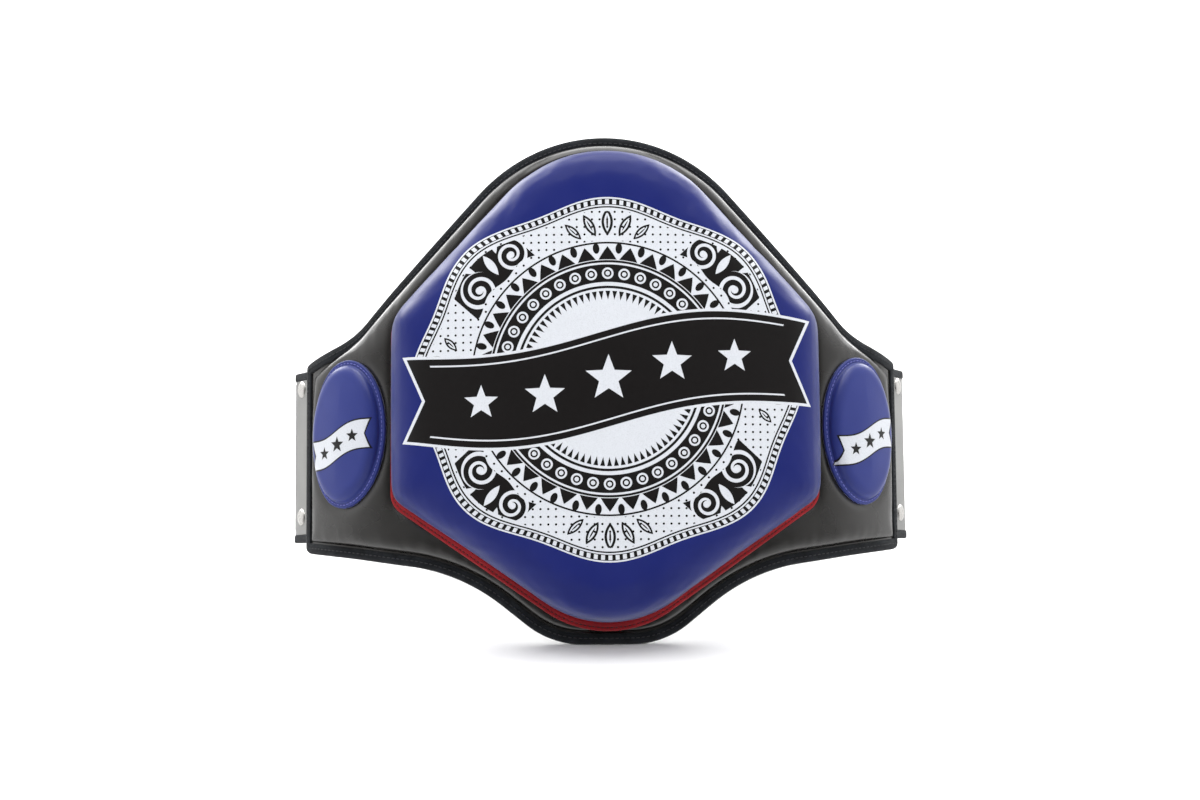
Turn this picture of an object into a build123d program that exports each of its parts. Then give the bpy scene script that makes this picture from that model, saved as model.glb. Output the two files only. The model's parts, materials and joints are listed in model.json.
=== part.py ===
from build123d import *
from math import cos, degrees, hypot, radians, sin
import os

# Trainer belly pad: a padded shell that wraps the waist, a thick strike pad on its front,
# an oval side pad on each wing and a riveted tab with an elastic closure strap at each end.
# Everything is built upright first (X to the right, Y to the rear, Z up, strike face on -Y)
# and is then leaned back until the lower tip and both straps stand on the floor.
# All sizes are in millimetres and degrees.

os.makedirs("parts", exist_ok=True)

# ---------------------------------------------------------------- driving dimensions
front_radius = 480.0
front_half_angle = 22.0
wing_radius = 154.0
wing_end_angle = 58.0
tab_radius = 430.0
tab_end_angle = 62.0

cover_thickness = 2.0
shell_thickness = 22.0
liner_thickness = 2.0
binding_width = 9.0
binding_depth = 5.0
binding_setback = 5.0

flange_thickness = 2.2
pad_front = 50.0
pad_roll = 20.0
pad_skin = 2.5
firm_foam_front = 17.0
middle_foam_front = 33.0

oval_angle = 36.4
oval_height_centre = 171.5
oval_width = 78.0
oval_height = 125.0
oval_rise = 12.0
oval_rim = 2.5
oval_skin = 1.8
oval_tilt = 3.5

tab_low = 89.5
tab_high = 229.0
tab_skin = 2.0
tab_lining = 1.6
elastic_thickness = 3.0
elastic_low = 97.0
elastic_high = 225.0
hinge_gap = 3.4
hinge_bead = 2.5

rivet_reach = 16.0
rivet_heights = (108.3, 217.7)
rivet_cap_radius = 7.3
rivet_cap_rise = 2.4
rivet_post_radius = 2.0
rivet_hole_radius = 2.05
washer_radius = 6.0
washer_thickness = 1.2

closed_angle = 100.0
strap_break_angle = 150.0
strap_tip_angle = 184.0
closed_depth = 222.0
right_opening = 25.0
left_opening = 27.3
elastic_reach = 85.0
elastic_lap = 14.0
panel_low = 87.02
panel_high = 229.02
panel_thickness = 6.0
panel_skin = 1.5
panel_edge = 8.0
panel_tip_radius = 25.0
patch_thickness = 1.3
patch_margin = 6.0
hook_length = 80.0
loop_length = 130.0

lean = 15.0

# Half outlines in the X-Z plane, from the top centre down the right side: x, z, corner radius.
shell_half = [
    (0.0, 479.0, 145.0),
    (213.0, 255.6, 80.0),
    (300.0, 214.0, 1.0),
    (300.0, 80.0, 1.0),
    (120.7, 58.0, 160.0),
    (46.4, 0.0, 77.0),
]
pad_half = [
    (0.0, 445.5, 110.0),
    (172.4, 263.8, 30.0),
    (172.4, 119.2, 18.0),
    (0.0, 1.5, 88.0),
]
flange_half = [
    (0.0, 454.2, 115.8),
    (177.4, 267.2, 34.0),
    (177.4, 113.0, 20.0),
    (0.0, -8.2, 88.0),
]


# ---------------------------------------------------------------- plan curve helpers
def chain(x, y, angle, turns):
    """Tangent arcs starting at (x, y) with the given heading; each turn is (radius, end angle)."""
    arcs = []
    for radius, end in turns:
        a = radians(angle)
        cx = x - radius * sin(a)
        cy = y + radius * cos(a)
        arcs.append((cx, cy, radius, angle, end))
        x = cx + radius * sin(radians(end))
        y = cy - radius * cos(radians(end))
        angle = end
    return arcs


def on_arc(arc, angle, offset=0.0):
    """Point of an arc at a heading, moved outward by the offset."""
    cx, cy, radius, _, _ = arc
    a = radians(angle)
    return (cx + (radius + offset) * sin(a), cy - (radius + offset) * cos(a))


def arc_length(arc):
    return arc[2] * radians(arc[4] - arc[3])


def portion(arcs, start, stop):
    """The part of a chain between two lengths measured along it."""
    kept = []
    run = 0.0
    for arc in arcs:
        length = arc_length(arc)
        low = max(start - run, 0.0)
        high = min(stop - run, length)
        if high - low > 1e-6:
            a0 = arc[3] + degrees(low / arc[2])
            a1 = arc[3] + degrees(high / arc[2])
            kept.append((arc[0], arc[1], arc[2], a0, a1))
        run += length
    return kept


def band(arcs, n_low, n_high, z_low, z_high):
    """Wall that follows a chain, between two outward offsets and two heights."""
    outer = [
        ThreePointArc(on_arc(a, a[3], n_high), on_arc(a, (a[3] + a[4]) / 2, n_high), on_arc(a, a[4], n_high))
        for a in arcs
    ]
    inner = [
        ThreePointArc(on_arc(a, a[3], n_low), on_arc(a, (a[3] + a[4]) / 2, n_low), on_arc(a, a[4], n_low))
        for a in arcs
    ]
    first, last = arcs[0], arcs[-1]
    caps = [
        Line(on_arc(first, first[3], n_low), on_arc(first, first[3], n_high)),
        Line(on_arc(last, last[4], n_low), on_arc(last, last[4], n_high)),
    ]
    face = make_face(Curve() + outer + inner + caps)
    return Pos(0, 0, z_low) * extrude(face, z_high - z_low, dir=(0, 0, 1))


# ---------------------------------------------------------------- outline helpers
def whole(half):
    """Closed outline from a right half: a corner on the centre line is used once."""
    left = [(-x, z, r) for x, z, r in reversed(half) if x > 0]
    return half + left


def inset(outline, distance):
    """Outline moved inward by a distance; convex corners tighten and concave ones open."""
    count = len(outline)
    area = 0.0
    for i in range(count):
        x0, z0, _ = outline[i]
        x1, z1, _ = outline[(i + 1) % count]
        area += x0 * z1 - x1 * z0
    turn = 1.0 if area > 0 else -1.0
    lines = []
    for i in range(count):
        x0, z0, _ = outline[i]
        x1, z1, _ = outline[(i + 1) % count]
        run = hypot(x1 - x0, z1 - z0)
        dx, dz = (x1 - x0) / run, (z1 - z0) / run
        lines.append((x0 - turn * dz * distance, z0 + turn * dx * distance, dx, dz))
    moved = []
    for i in range(count):
        px, pz, ax, az = lines[i - 1]
        qx, qz, bx, bz = lines[i]
        cross = ax * bz - az * bx
        t = ((qx - px) * bz - (qz - pz) * bx) / cross
        convex = cross * turn > 0
        radius = outline[i][2] - distance if convex else outline[i][2] + distance
        moved.append((px + ax * t, pz + az * t, max(radius, 0.5)))
    return moved


def prism(outline):
    """Solid with an X-Z outline, running through the whole depth of the part."""
    points = [(x, z) for x, z, _ in outline]
    radii = [r for _, _, r in outline]
    face = Plane.XZ * make_face(FilletPolyline(*points, radius=radii, close=True))
    return extrude(face, 500, both=True)


def one(shape):
    """The single solid of a shape, or all of them when it is in several pieces."""
    solids = shape.solids()
    return solids[0] if len(solids) == 1 else Compound(children=list(solids))


def short_edges_near(solid, point, length):
    """Edges of a known length that run through the thickness at a plan point."""
    found = []
    for edge in solid.edges():
        middle = edge @ 0.5
        if abs(edge.length - length) < 0.02 and hypot(middle.X - point[0], middle.Y - point[1]) < 1.0:
            found.append(edge)
    return found


def mirrored(shape):
    return mirror(shape, about=Plane.YZ)


# ---------------------------------------------------------------- plan curves
right_half = chain(
    0.0,
    0.0,
    0.0,
    [(front_radius, front_half_angle), (wing_radius, wing_end_angle), (tab_radius, tab_end_angle)],
)
wing_reach = arc_length(right_half[0]) + arc_length(right_half[1])
tab_reach = wing_reach + arc_length(right_half[2])
end_x, end_y = on_arc(right_half[1], wing_end_angle)
full = chain(
    -end_x,
    end_y,
    -wing_end_angle,
    [(wing_radius, -front_half_angle), (front_radius, front_half_angle), (wing_radius, wing_end_angle)],
)
full_length = 2 * wing_reach
inner_full = portion(full, binding_width, full_length - binding_width)

shell_outline = whole(shell_half)
inner_outline = inset(shell_outline, binding_width)
pad_outline = whole(pad_half)

pieces = {}

# ---------------------------------------------------------------- padded shell
shell_block = prism(shell_outline)
inner_block = prism(inner_outline)
foam_back = -(shell_thickness - liner_thickness)
tall = (-20.0, 500.0)

pieces["shell_cover"] = one(band(inner_full, -cover_thickness, 0, *tall) & inner_block)
pieces["shell_foam"] = one(band(inner_full, foam_back, -cover_thickness, *tall) & inner_block)
pieces["shell_liner"] = one(band(inner_full, -shell_thickness, foam_back, *tall) & inner_block)

# The tape along the top and bottom grips the shell part way back, so the padding stands in front.
rim_band = band(inner_full, -binding_setback - binding_depth, -binding_setback, *tall)
rim = (rim_band & shell_block) - inner_block
strips = rim.solids().sort_by(Axis.Z)
pieces["binding_bottom"] = strips[0]
pieces["binding_top"] = strips[-1]
right_end = portion(full, full_length - binding_width, full_length)
pieces["binding_right_end"] = one(band(right_end, -binding_depth, 0, *tall) & shell_block)
pieces["binding_left_end"] = mirrored(pieces["binding_right_end"])

# ---------------------------------------------------------------- strike pad
flange_block = prism(whole(flange_half))
pieces["pad_flange"] = one(band(full, 0, flange_thickness, *tall) & flange_block)


def rolled(outline, n_front, roll):
    """Pad body with its front rim rolled over."""
    body = one(band(full, flange_thickness, n_front, *tall) & prism(outline))
    front = [e for e in body.edges() if front_edge(e, n_front)]
    return one(fillet(front, roll))


def front_edge(edge, n_front):
    """True for an edge that lies on the front curved face."""
    arc = full[1]
    for t in (0.1, 0.5, 0.9):
        p = edge @ t
        if abs(hypot(p.X - arc[0], p.Y - arc[1]) - (arc[2] + n_front)) > 0.05:
            return False
    return True


pad_body = rolled(pad_outline, pad_front, pad_roll)
pad_cavity = rolled(inset(pad_outline, pad_skin), pad_front - pad_skin, pad_roll - pad_skin)
pieces["pad_cover"] = one(pad_body - pad_cavity)
pieces["pad_foam_firm"] = one(pad_cavity & band(full, flange_thickness, firm_foam_front, *tall))
pieces["pad_foam_middle"] = one(pad_cavity & band(full, firm_foam_front, middle_foam_front, *tall))
pieces["pad_foam_soft"] = one(pad_cavity & band(full, middle_foam_front, pad_front, *tall))

# ---------------------------------------------------------------- oval side pads
oval_x, oval_y = on_arc(right_half[1], oval_angle)
oval_plane = Plane(
    origin=(oval_x, oval_y, oval_height_centre),
    x_dir=(cos(radians(oval_angle)), sin(radians(oval_angle)), 0),
    z_dir=(sin(radians(oval_angle)), -cos(radians(oval_angle)), 0),
)


def oval_body(margin, rise, rim_rise):
    """Domed oval that sits on the wing: a low rim under a crowned cap."""
    half_w = oval_width / 2 - margin
    half_h = oval_height / 2 - margin
    edge = extrude(Ellipse(half_w, half_h), 60, both=True)
    sag = half_w**2 / (2 * wing_radius)
    fall = rise + sag - rim_rise * 0.5
    ball = (half_w**2 + fall**2) / (2 * fall)
    cap = Pos(0, 0, rise - ball) * scale(Sphere(ball), by=(1, half_h / half_w, 1))
    tilt = Rot(0, 0, oval_tilt)
    edge = oval_plane * (tilt * edge)
    cap = oval_plane * (tilt * cap)
    wing = band(full, 0, rise + 8, *tall)
    return one((edge & cap & wing) + (edge & band(full, 0, rim_rise, *tall)))


oval_outer = oval_body(0.0, oval_rise, oval_rim)
oval_inner = oval_body(5.0, oval_rise - oval_skin, 0.7)
pieces["right_side_pad_cover"] = one(oval_outer - oval_inner)
pieces["right_side_pad_foam"] = oval_inner
pieces["left_side_pad_cover"] = mirrored(pieces["right_side_pad_cover"])
pieces["left_side_pad_foam"] = mirrored(oval_inner)

# ---------------------------------------------------------------- riveted end tabs
tab_arcs = portion(right_half, wing_reach - binding_width, tab_reach)
skin_front = -binding_depth
skin_back = skin_front - tab_skin
anchor_back = skin_back - elastic_thickness
lining_back = anchor_back - tab_lining
anchor_middle = (skin_back + anchor_back) / 2

rivet_angle = wing_end_angle + degrees(rivet_reach / tab_radius)
rivet_dir = (sin(radians(rivet_angle)), -cos(radians(rivet_angle)), 0)
face_x, face_y = on_arc(right_half[2], rivet_angle, skin_front)


def rivet_plane(height):
    """Plane on the tab face at a rivet, with its normal pointing outward."""
    return Plane(origin=(face_x, face_y, height), x_dir=(0, 0, 1), z_dir=rivet_dir)


holes = [
    rivet_plane(z) * extrude(Circle(rivet_hole_radius), 20, both=True) for z in rivet_heights
]
tab_layers = {
    "right_tab_outer": band(tab_arcs, skin_back, skin_front, tab_low, tab_high),
    "right_elastic_anchor": band(tab_arcs, anchor_back, skin_back, elastic_low, elastic_high),
    "right_tab_inner": band(tab_arcs, lining_back, anchor_back, tab_low, tab_high),
}
for name, layer in tab_layers.items():
    for hole in holes:
        layer = layer - hole
    pieces[name] = one(layer)
    pieces[name.replace("right", "left")] = mirrored(pieces[name])

stack = tab_skin + elastic_thickness + tab_lining
for level, z in zip(("lower", "upper"), rivet_heights):
    disc = extrude(Circle(rivet_cap_radius), rivet_cap_rise)
    disc = fillet(disc.edges().group_by(Axis.Z)[-1], rivet_cap_rise * 0.8)
    post = extrude(Circle(rivet_post_radius), -(stack + washer_thickness))
    rivet = rivet_plane(z) * (disc + post)
    ring = extrude(Circle(washer_radius) - Circle(rivet_hole_radius), -washer_thickness)
    washer = rivet_plane(z) * (Pos(0, 0, -stack - 0.05) * ring)
    pieces["right_rivet_" + level] = one(rivet)
    pieces["left_rivet_" + level] = mirrored(pieces["right_rivet_" + level])
    pieces["right_washer_" + level] = one(washer)
    pieces["left_washer_" + level] = mirrored(pieces["right_washer_" + level])

# ---------------------------------------------------------------- closure straps
tab_x, tab_y = on_arc(right_half[2], tab_end_angle, anchor_middle)
hinge_x = tab_x + hinge_gap * cos(radians(tab_end_angle))
hinge_y = tab_y + hinge_gap * sin(radians(tab_end_angle))

# Two tangent arcs carry the closed strap from the hinge to the middle of the back, where it
# runs straight across: their radii follow from the two distances to be covered.
sin_0, cos_0 = sin(radians(closed_angle)), cos(radians(closed_angle))
sin_1, cos_1 = sin(radians(strap_break_angle)), cos(radians(strap_break_angle))
across_1, across_2 = sin_0 - sin_1, sin_1
back_1, back_2 = cos_0 - cos_1, cos_1 + 1
depth = closed_depth - hinge_y
bend_radius = (depth * across_2 - hinge_x * back_2) / (back_1 * across_2 - across_1 * back_2)
back_radius = (hinge_x - across_1 * bend_radius) / across_2
strap_arcs = chain(
    hinge_x,
    hinge_y,
    closed_angle,
    [(bend_radius, strap_break_angle), (back_radius, strap_tip_angle)],
)
strap_length = arc_length(strap_arcs[0]) + arc_length(strap_arcs[1])


def strap_block(start, stop, n_low, n_high, z_low, z_high, tip_radius):
    """Length of strap; the far corners are rounded when a radius is given."""
    arcs = portion(strap_arcs, start, stop)
    block = one(band(arcs, n_low, n_high, z_low, z_high))
    if tip_radius:
        last = arcs[-1]
        tip = on_arc(last, last[4], (n_low + n_high) / 2)
        block = one(fillet(short_edges_near(block, tip, n_high - n_low), tip_radius))
    return block


def strap_pieces(side, n_panel, patch_on_inside, opening):
    """All pieces of one strap, placed at its resting angle; built on the right-hand side."""
    low, high = n_panel, n_panel + panel_thickness
    start, stop = elastic_reach, strap_length
    webbing = strap_block(0, elastic_reach + elastic_lap, -1.5, 1.5, elastic_low, elastic_high, 0)
    bead = extrude(Circle(hinge_bead), elastic_high - elastic_low)
    bead = Pos(hinge_x, hinge_y, elastic_low) * bead
    inner = (start, stop - panel_edge)
    zone = (panel_low + panel_edge, panel_high - panel_edge)
    tip = panel_tip_radius - panel_edge
    full_panel = strap_block(start, stop, low, high, panel_low, panel_high, panel_tip_radius)
    core = strap_block(*inner, low, high, *zone, tip)
    made = {
        side + "_elastic": one(webbing + bead),
        side + "_panel_binding": one(full_panel - core),
        side + "_panel_lining": strap_block(*inner, low, low + panel_skin, *zone, tip),
        side + "_panel_foam": strap_block(*inner, low + panel_skin, high - panel_skin, *zone, tip),
        side + "_panel_leather": strap_block(*inner, high - panel_skin, high, *zone, tip),
    }
    patch_zone = (zone[0] + patch_margin, zone[1] - patch_margin)
    patch_stop = stop - panel_edge - patch_margin
    if patch_on_inside:
        n0, n1, length, name = low - patch_thickness, low, hook_length, "_hook_patch"
    else:
        n0, n1, length, name = high, high + patch_thickness, loop_length, "_loop_patch"
    made[side + name] = strap_block(patch_stop - length, patch_stop, n0, n1, *patch_zone, 12.0)
    about = Axis((hinge_x, hinge_y, 0), (0, 0, 1))
    return {key: shape.rotate(about, -opening) for key, shape in made.items()}


half_elastic = elastic_thickness / 2
pieces.update(strap_pieces("right", half_elastic, True, right_opening))
left = strap_pieces("left", -half_elastic - panel_thickness, False, left_opening)
pieces.update({key: mirrored(shape) for key, shape in left.items()})

# ---------------------------------------------------------------- lean back and set down
leaned = {name: Rot(-lean, 0, 0) * shape for name, shape in pieces.items()}
box = Compound(children=[s for shape in leaned.values() for s in shape.solids()]).bounding_box()
shift = Pos(0, -(box.min.Y + box.max.Y) / 2, -box.min.Z)
placed = {name: shift * shape for name, shape in leaned.items()}

for name, shape in placed.items():
    shape.label = name
    export_step(shape, os.path.join("parts", name + ".step"))

# The hinge axes of the two straps, for the joints.
hinge = shift * Rot(-lean, 0, 0) * Pos(hinge_x, hinge_y, elastic_low)
print("pieces", len(placed))
print("box", box.size.X, box.size.Y, box.size.Z)
print("hinge point", hinge.position)
print("strap bend and back radius", bend_radius, back_radius, "length", strap_length)
for name in ("binding_bottom", "right_panel_binding", "left_panel_binding", "binding_left_end"):
    print(name, "lowest", placed[name].bounding_box().min.Z)
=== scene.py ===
import json
from math import atan2, ceil, cos, pi, radians, sin, tan

import bmesh
import bpy
import numpy as np
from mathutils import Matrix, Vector, noise


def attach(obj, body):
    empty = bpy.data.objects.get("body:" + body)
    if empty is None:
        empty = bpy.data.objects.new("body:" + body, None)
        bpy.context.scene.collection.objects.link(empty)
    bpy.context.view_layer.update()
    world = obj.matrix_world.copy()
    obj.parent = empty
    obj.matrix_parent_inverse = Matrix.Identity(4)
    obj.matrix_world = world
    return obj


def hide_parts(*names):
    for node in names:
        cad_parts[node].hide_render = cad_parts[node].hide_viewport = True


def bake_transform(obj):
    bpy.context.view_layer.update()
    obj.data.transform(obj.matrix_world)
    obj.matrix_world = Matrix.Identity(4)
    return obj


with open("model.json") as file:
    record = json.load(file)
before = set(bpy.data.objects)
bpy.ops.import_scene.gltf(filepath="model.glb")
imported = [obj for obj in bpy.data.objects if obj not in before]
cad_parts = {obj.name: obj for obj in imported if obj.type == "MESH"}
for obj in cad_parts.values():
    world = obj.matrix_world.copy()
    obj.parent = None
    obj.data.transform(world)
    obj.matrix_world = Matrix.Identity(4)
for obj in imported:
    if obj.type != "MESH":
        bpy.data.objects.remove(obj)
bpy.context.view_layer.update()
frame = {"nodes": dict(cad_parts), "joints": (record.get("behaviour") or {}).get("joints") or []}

MM = 0.001
SIDES = ((-1, "left"), (1, "right"))

# ---- the pad's own frame
# The pad is laid out upright (x right, y rear, z up) and leaned back like the CAD.
joints = {j["name"]: j for j in frame["joints"]}
hinge_axis = joints["right_strap_swing"]["axis"]
hinge_pos = joints["right_strap_swing"]["pos_m"]
LEAN = atan2(hinge_axis[1], hinge_axis[2])
# The straps' hinge in that upright frame: its place in plan and its lower end.
HINGE_X, HINGE_Y, HINGE_Z = 0.261819, 0.129098, 0.097
SHIFT_Y = hinge_pos[1] - (HINGE_Y * cos(LEAN) + HINGE_Z * sin(LEAN))
SHIFT_Z = hinge_pos[2] - (HINGE_Z * cos(LEAN) - HINGE_Y * sin(LEAN))

# The shell wraps round in three arcs: front, wing and tab, each a radius and the angle it ends at.
FRONT_R, FRONT_A = 0.480, radians(22)
WING_R, WING_A = 0.154, radians(58)
TAB_R, TAB_A = 0.430, radians(62)
FRONT_S = FRONT_R * FRONT_A
WING_S = FRONT_S + WING_R * (WING_A - FRONT_A)
TAB_S = WING_S + TAB_R * (TAB_A - WING_A)
WING_X = (FRONT_R - WING_R) * sin(FRONT_A)
WING_Y = FRONT_R - (FRONT_R - WING_R) * cos(FRONT_A)
TAB_X = WING_X - (TAB_R - WING_R) * sin(WING_A)
TAB_Y = WING_Y + (TAB_R - WING_R) * cos(WING_A)


def stand(x, y, z):
    """Points of the upright pad, leaned back and set on the floor."""
    rows = [x, y * cos(LEAN) + z * sin(LEAN) + SHIFT_Y, z * cos(LEAN) - y * sin(LEAN) + SHIFT_Z]
    return np.stack(np.broadcast_arrays(*rows), axis=-1)


def wrap(s, z, n):
    """Point at a length s along the shell, a height z and a distance n in front of it."""
    s, z, n = np.broadcast_arrays(np.asarray(s, float), np.asarray(z, float), np.asarray(n, float))
    a = np.abs(s)
    t = np.minimum(a, FRONT_S) / FRONT_R
    x = (FRONT_R + n) * np.sin(t)
    y = FRONT_R - (FRONT_R + n) * np.cos(t)
    t = FRONT_A + (a - FRONT_S) / WING_R
    wing = a > FRONT_S
    x = np.where(wing, WING_X + (WING_R + n) * np.sin(t), x)
    y = np.where(wing, WING_Y - (WING_R + n) * np.cos(t), y)
    t = WING_A + (a - WING_S) / TAB_R
    tab = a > WING_S
    x = np.where(tab, TAB_X + (TAB_R + n) * np.sin(t), x)
    y = np.where(tab, TAB_Y - (TAB_R + n) * np.cos(t), y)
    return stand(np.sign(s) * x, y, z)


def setback(s):
    """How far the edge tape lies behind the front of the shell; none at the wing ends."""
    return TAPE_SETBACK * (1 - ease(np.abs(s), WING_S - 0.075, WING_S - 0.012))


def wrap_edge(s, z, n):
    """Like wrap, but n is measured from the set-back edge."""
    return wrap(s, z, n - setback(s))


def along(x):
    """Length along the shell of a point at a given x, on either side."""
    a = np.abs(x)
    near = FRONT_R * np.arcsin(np.clip(a / FRONT_R, 0, 1))
    far = FRONT_S + WING_R * (np.arcsin(np.clip((a - WING_X) / WING_R, 0, 1)) - FRONT_A)
    return np.sign(x) * np.where(a > FRONT_R * sin(FRONT_A), far, near)


# ---- outlines
def whole(half):
    """Corners of both halves, from those of the right half."""
    left = [(-x, z, r) for x, z, r in reversed(half) if x > 0]
    return half + left


def inset(corners, distances):
    """Corners moved inward; one distance for all sides, or one for the side after each corner."""
    count = len(corners)
    if not hasattr(distances, "__len__"):
        distances = [distances] * count
    pts = np.array([c[:2] for c in corners])
    nxt = np.roll(pts, -1, axis=0)
    turn = np.sign(np.sum(pts[:, 0] * nxt[:, 1] - pts[:, 1] * nxt[:, 0]))
    d = nxt - pts
    d /= np.linalg.norm(d, axis=1)[:, None]
    normal = np.stack([-d[:, 1], d[:, 0]], axis=1) * turn
    base = pts + normal * np.array(distances)[:, None]
    moved = []
    for i in range(count):
        p, u, q, v = base[i - 1], d[i - 1], base[i], d[i]
        cross = u[0] * v[1] - u[1] * v[0]
        t = ((q[0] - p[0]) * v[1] - (q[1] - p[1]) * v[0]) / cross
        grow = -max(distances) if cross * turn > 0 else max(distances)
        hit = p + u * t
        moved.append((hit[0], hit[1], max(corners[i][2] + grow, 0.0004)))
    return moved


def loop(corners, counts=None, step=0.004):
    """Closed line round the corners; the same counts give matching points on related outlines."""
    pts = [np.array(c[:2], float) for c in corners]
    count = len(pts)
    arcs = []
    for i in range(count):
        u = pts[i] - pts[i - 1]
        u /= np.linalg.norm(u)
        v = pts[(i + 1) % count] - pts[i]
        v /= np.linalg.norm(v)
        cross = u[0] * v[1] - u[1] * v[0]
        turn = atan2(abs(cross), float(u @ v))
        side = 1.0 if cross > 0 else -1.0
        radius = corners[i][2]
        cut = radius * tan(turn / 2)
        centre = pts[i] - u * cut + np.array([-u[1], u[0]]) * side * radius
        arcs.append((pts[i] - u * cut, pts[i] + v * cut, centre, turn * side, radius))
    if counts is None:
        counts = []
        for i in range(count):
            gap = np.linalg.norm(arcs[(i + 1) % count][0] - arcs[i][1])
            bend = max(3, ceil(arcs[i][4] * abs(arcs[i][3]) / step))
            counts.append((bend, max(2, ceil(gap / step))))
    line = []
    for i in range(count):
        start, end, centre, turn, _ = arcs[i]
        bend, straight = counts[i]
        r = start - centre
        for k in range(bend):
            a = turn * k / bend
            line.append(centre + np.array([r[0] * cos(a) - r[1] * sin(a), r[0] * sin(a) + r[1] * cos(a)]))
        nxt = arcs[(i + 1) % count][0]
        for k in range(straight):
            line.append(end + (nxt - end) * k / straight)
    return np.array(line), counts


def lengths(line, closed=True):
    """Running length at each point of a line, with the full length last when it is closed."""
    pts = np.vstack([line, line[:1]]) if closed else line
    steps = np.linalg.norm(np.diff(pts, axis=0), axis=1)
    return np.concatenate([[0], np.cumsum(steps)])


def resample(line, count, closed=True):
    """The same line with its points evenly spaced."""
    run = lengths(line, closed)
    pts = np.vstack([line, line[:1]]) if closed else line
    at = np.linspace(0, run[-1], count, endpoint=not closed)
    return np.stack([np.interp(at, run, pts[:, k]) for k in range(pts.shape[1])], axis=1)


def edge_distance(points, line):
    """Distance of each 2-D point from a closed line; negative outside it."""
    flat = points.reshape(-1, 2)
    a = line
    b = np.roll(line, -1, axis=0)
    ab = b - a
    size = np.sum(ab * ab, axis=1) + 1e-18
    out = np.empty(len(flat))
    for k in range(0, len(flat), 4000):
        p = flat[k : k + 4000, None, :]
        t = np.clip(np.sum((p - a) * ab, axis=2) / size, 0, 1)
        near = a + ab * t[..., None]
        dist = np.sqrt(np.min(np.sum((p - near) ** 2, axis=2), axis=1))
        up = (a[:, 1] > p[..., 1]) != (b[:, 1] > p[..., 1])
        cut = a[:, 0] + (p[..., 1] - a[:, 1]) * ab[:, 0] / np.where(ab[:, 1] == 0, 1e-12, ab[:, 1])
        inside = np.sum(up & (p[..., 0] < cut), axis=1) % 2 == 1
        out[k : k + 4000] = np.where(inside, dist, -dist)
    return out.reshape(points.shape[:-1])


def depth_in(points, line):
    """Distance inside a closed line, and 0 outside it."""
    return np.clip(edge_distance(points, line), 0, None)


def ease(x, low, high):
    """Smooth step from 0 at low to 1 at high."""
    t = np.clip((x - low) / (high - low), 0, 1)
    return t * t * (3 - 2 * t)


def rise(d, reach):
    """Pillow profile: steep at its edge and level once it is a reach away."""
    t = 1 - np.clip(d / reach, 0, 1)
    return np.sqrt(np.clip(1 - t**2.2, 0, 1))


def ripple(points, size, seed):
    """Smooth noise between about -1 and 1 at each point, the same on every run."""
    flat = points.reshape(-1, points.shape[-1])
    out = np.empty(len(flat))
    for k, p in enumerate(flat):
        third = p[2] / size if len(p) > 2 else 0.0
        out[k] = noise.noise(Vector((p[0] / size + seed, p[1] / size - seed, third + 0.37)))
    return out.reshape(points.shape[:-1]) * 1.6


# Upright outlines: x, z and corner radius of the right half, from the top centre down.
WING_END_X = WING_X + WING_R * sin(WING_A)
WING_TOP = 0.2368
SHELL = [
    (0.0, 0.479, 0.145),
    (0.213, 0.2556, 0.080),
    (WING_END_X, WING_TOP, 0.005),
    (WING_END_X, 0.0768, 0.005),
    (0.1207, 0.058, 0.160),
    (0.0464, 0.0, 0.077),
]
PAD = [(0.0, 0.4478, 0.110), (0.1731, 0.2645, 0.030), (0.1731, 0.1186, 0.018), (0.0, -0.0032, 0.088)]
FLANGE = [(0.0, 0.4502, 0.112), (0.1752, 0.2652, 0.032), (0.1758, 0.1136, 0.019), (0.0, -0.0082, 0.088)]
# Widths of the tapes and of the red flange, and how far the tape is set back at the front.
TAPE, PANEL_TAPE, FLANGE_WIDTH = 0.009, 0.008, 0.020
TAPE_SETBACK = 0.0065


def unrolled(xz):
    """Line on the shell: its x turned into length along the shell."""
    return np.stack([along(xz[:, 0]), xz[:, 1]], axis=1)


# The wing ends face sideways, so the tape there is narrower in x.
shell_corners = whole(SHELL)
shell_sides = [TAPE] * len(shell_corners)
for wing_end in (2, 8):
    shell_sides[wing_end] = TAPE * cos(WING_A)
shell_xz, shell_counts = loop(shell_corners)
SHELL_LINE = unrolled(shell_xz)
TAPE_LINE = unrolled(loop(inset(shell_corners, shell_sides), shell_counts)[0])
flange_xz, flange_counts = loop(whole(FLANGE))
FLANGE_LINE = unrolled(flange_xz)
FLANGE_IN = unrolled(loop(inset(whole(FLANGE), FLANGE_WIDTH), flange_counts)[0])

OVAL_A = radians(36.4)
OVAL_S = FRONT_S + WING_R * (OVAL_A - FRONT_A)
OVAL_Z, OVAL_W, OVAL_H, OVAL_TILT = 0.1742, 0.039, 0.0615, radians(3.5)


def oval_line(side, grow=0.0, count=120):
    """Edge of a side pad in shell lengths; its top leans towards the middle."""
    a = np.linspace(0, 2 * pi, count, endpoint=False)
    u = (OVAL_W + grow) * np.cos(a)
    v = (OVAL_H + grow) * np.sin(a)
    s = OVAL_S + u * cos(OVAL_TILT) - v * sin(OVAL_TILT)
    z = OVAL_Z + u * sin(OVAL_TILT) + v * cos(OVAL_TILT)
    return np.stack([side * s, z], axis=1)


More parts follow.
